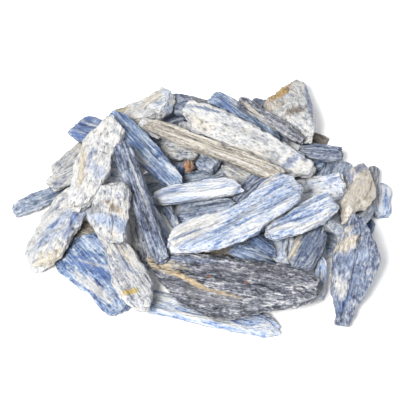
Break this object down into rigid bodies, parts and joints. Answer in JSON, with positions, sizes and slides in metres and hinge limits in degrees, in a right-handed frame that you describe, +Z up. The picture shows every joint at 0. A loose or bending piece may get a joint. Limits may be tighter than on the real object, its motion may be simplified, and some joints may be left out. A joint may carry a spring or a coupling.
{
  "type": "kyanite blade cluster",
  "caption": "Low heap of loose rough kyanite blades in white, cream, blue and gray, flat striated crystals and splinters lying across each other on a surface.",
  "frame": {"origin": "on the surface that the heap lies on, under the middle of its bounding box", "axes": "+X to the right of the heap as pictured, +Y to its back, +Z up"},
  "size_m": [0.1522, 0.1308, 0.0331],
  "materials": {
    "white_kyanite": "bleached, finely striated, dull with pearly cleavage faces",
    "cream_kyanite": "weathered cream, striated, dull",
    "pale_blue_kyanite": "streaked pale blue and white, pearly",
    "deep_blue_kyanite": "streaked deep blue, vitreous to pearly",
    "blue_gray_kyanite": "striated blue-gray, dull",
    "micaceous_kyanite": "gray with mica flecks and tan veins, glittering"
  },
  "bodies": {
    "root": {"lower_back_left_blade": "blue_gray_kyanite", "lower_back_right_blade": "blue_gray_kyanite", "lower_middle_blade": "blue_gray_kyanite", "lower_front_blade": "blue_gray_kyanite", "back_gray_blade": "blue_gray_kyanite", "back_prong": "blue_gray_kyanite", "right_striped_end": "blue_gray_kyanite", "right_blue_splinter": "pale_blue_kyanite", "back_right_chip": "cream_kyanite", "right_gray_blade": "blue_gray_kyanite", "right_white_blade": "white_kyanite", "back_crested_slab": "white_kyanite", "left_shadow_chunk": "blue_gray_kyanite", "inner_gray_chunk": "micaceous_kyanite", "inner_blue_chip": "deep_blue_kyanite", "inner_rusty_chip": "cream_kyanite", "inner_cream_chunk": "micaceous_kyanite", "left_brown_chip": "micaceous_kyanite", "left_mica_strip": "micaceous_kyanite", "front_gold_blade": "micaceous_kyanite", "front_blue_blade": "deep_blue_kyanite", "front_striped_chip": "pale_blue_kyanite", "front_dark_splinter": "blue_gray_kyanite", "right_blue_chip": "deep_blue_kyanite", "right_low_splinter": "blue_gray_kyanite", "far_left_blade": "pale_blue_kyanite", "left_upper_tan_blade": "cream_kyanite", "left_pale_blade": "white_kyanite", "far_right_blade": "blue_gray_kyanite", "far_right_splinter": "blue_gray_kyanite", "right_dark_blade": "deep_blue_kyanite", "front_scimitar_blade": "pale_blue_kyanite", "front_left_plate": "deep_blue_kyanite", "back_white_crown": "white_kyanite", "back_white_chip": "white_kyanite", "upper_left_blue_blade": "deep_blue_kyanite", "middle_arched_blade": "white_kyanite", "middle_striped_blade": "blue_gray_kyanite", "middle_shadow_blade": "blue_gray_kyanite", "middle_gray_splinter": "micaceous_kyanite", "middle_pale_splinter": "pale_blue_kyanite", "right_cream_blue_blade": "cream_kyanite", "front_mica_blade": "micaceous_kyanite", "left_speckled_blade": "white_kyanite", "right_lavender_slab": "blue_gray_kyanite", "right_stepped_blade": "cream_kyanite", "right_striped_blade": "white_kyanite", "back_blue_blade": "deep_blue_kyanite", "back_gray_splinter": "micaceous_kyanite", "left_arched_blade": "pale_blue_kyanite", "left_leaning_blade": "white_kyanite", "left_ridged_blade": "deep_blue_kyanite", "front_flared_blade": "micaceous_kyanite", "right_tooth_blade": "pale_blue_kyanite", "front_kinked_blade": "white_kyanite", "small_white_chip": "white_kyanite", "top_white_blade": "white_kyanite", "long_cream_blade": "cream_kyanite", "front_white_chunk": "white_kyanite", "middle_notched_blade": "white_kyanite"}
  },
  "joints": []
}
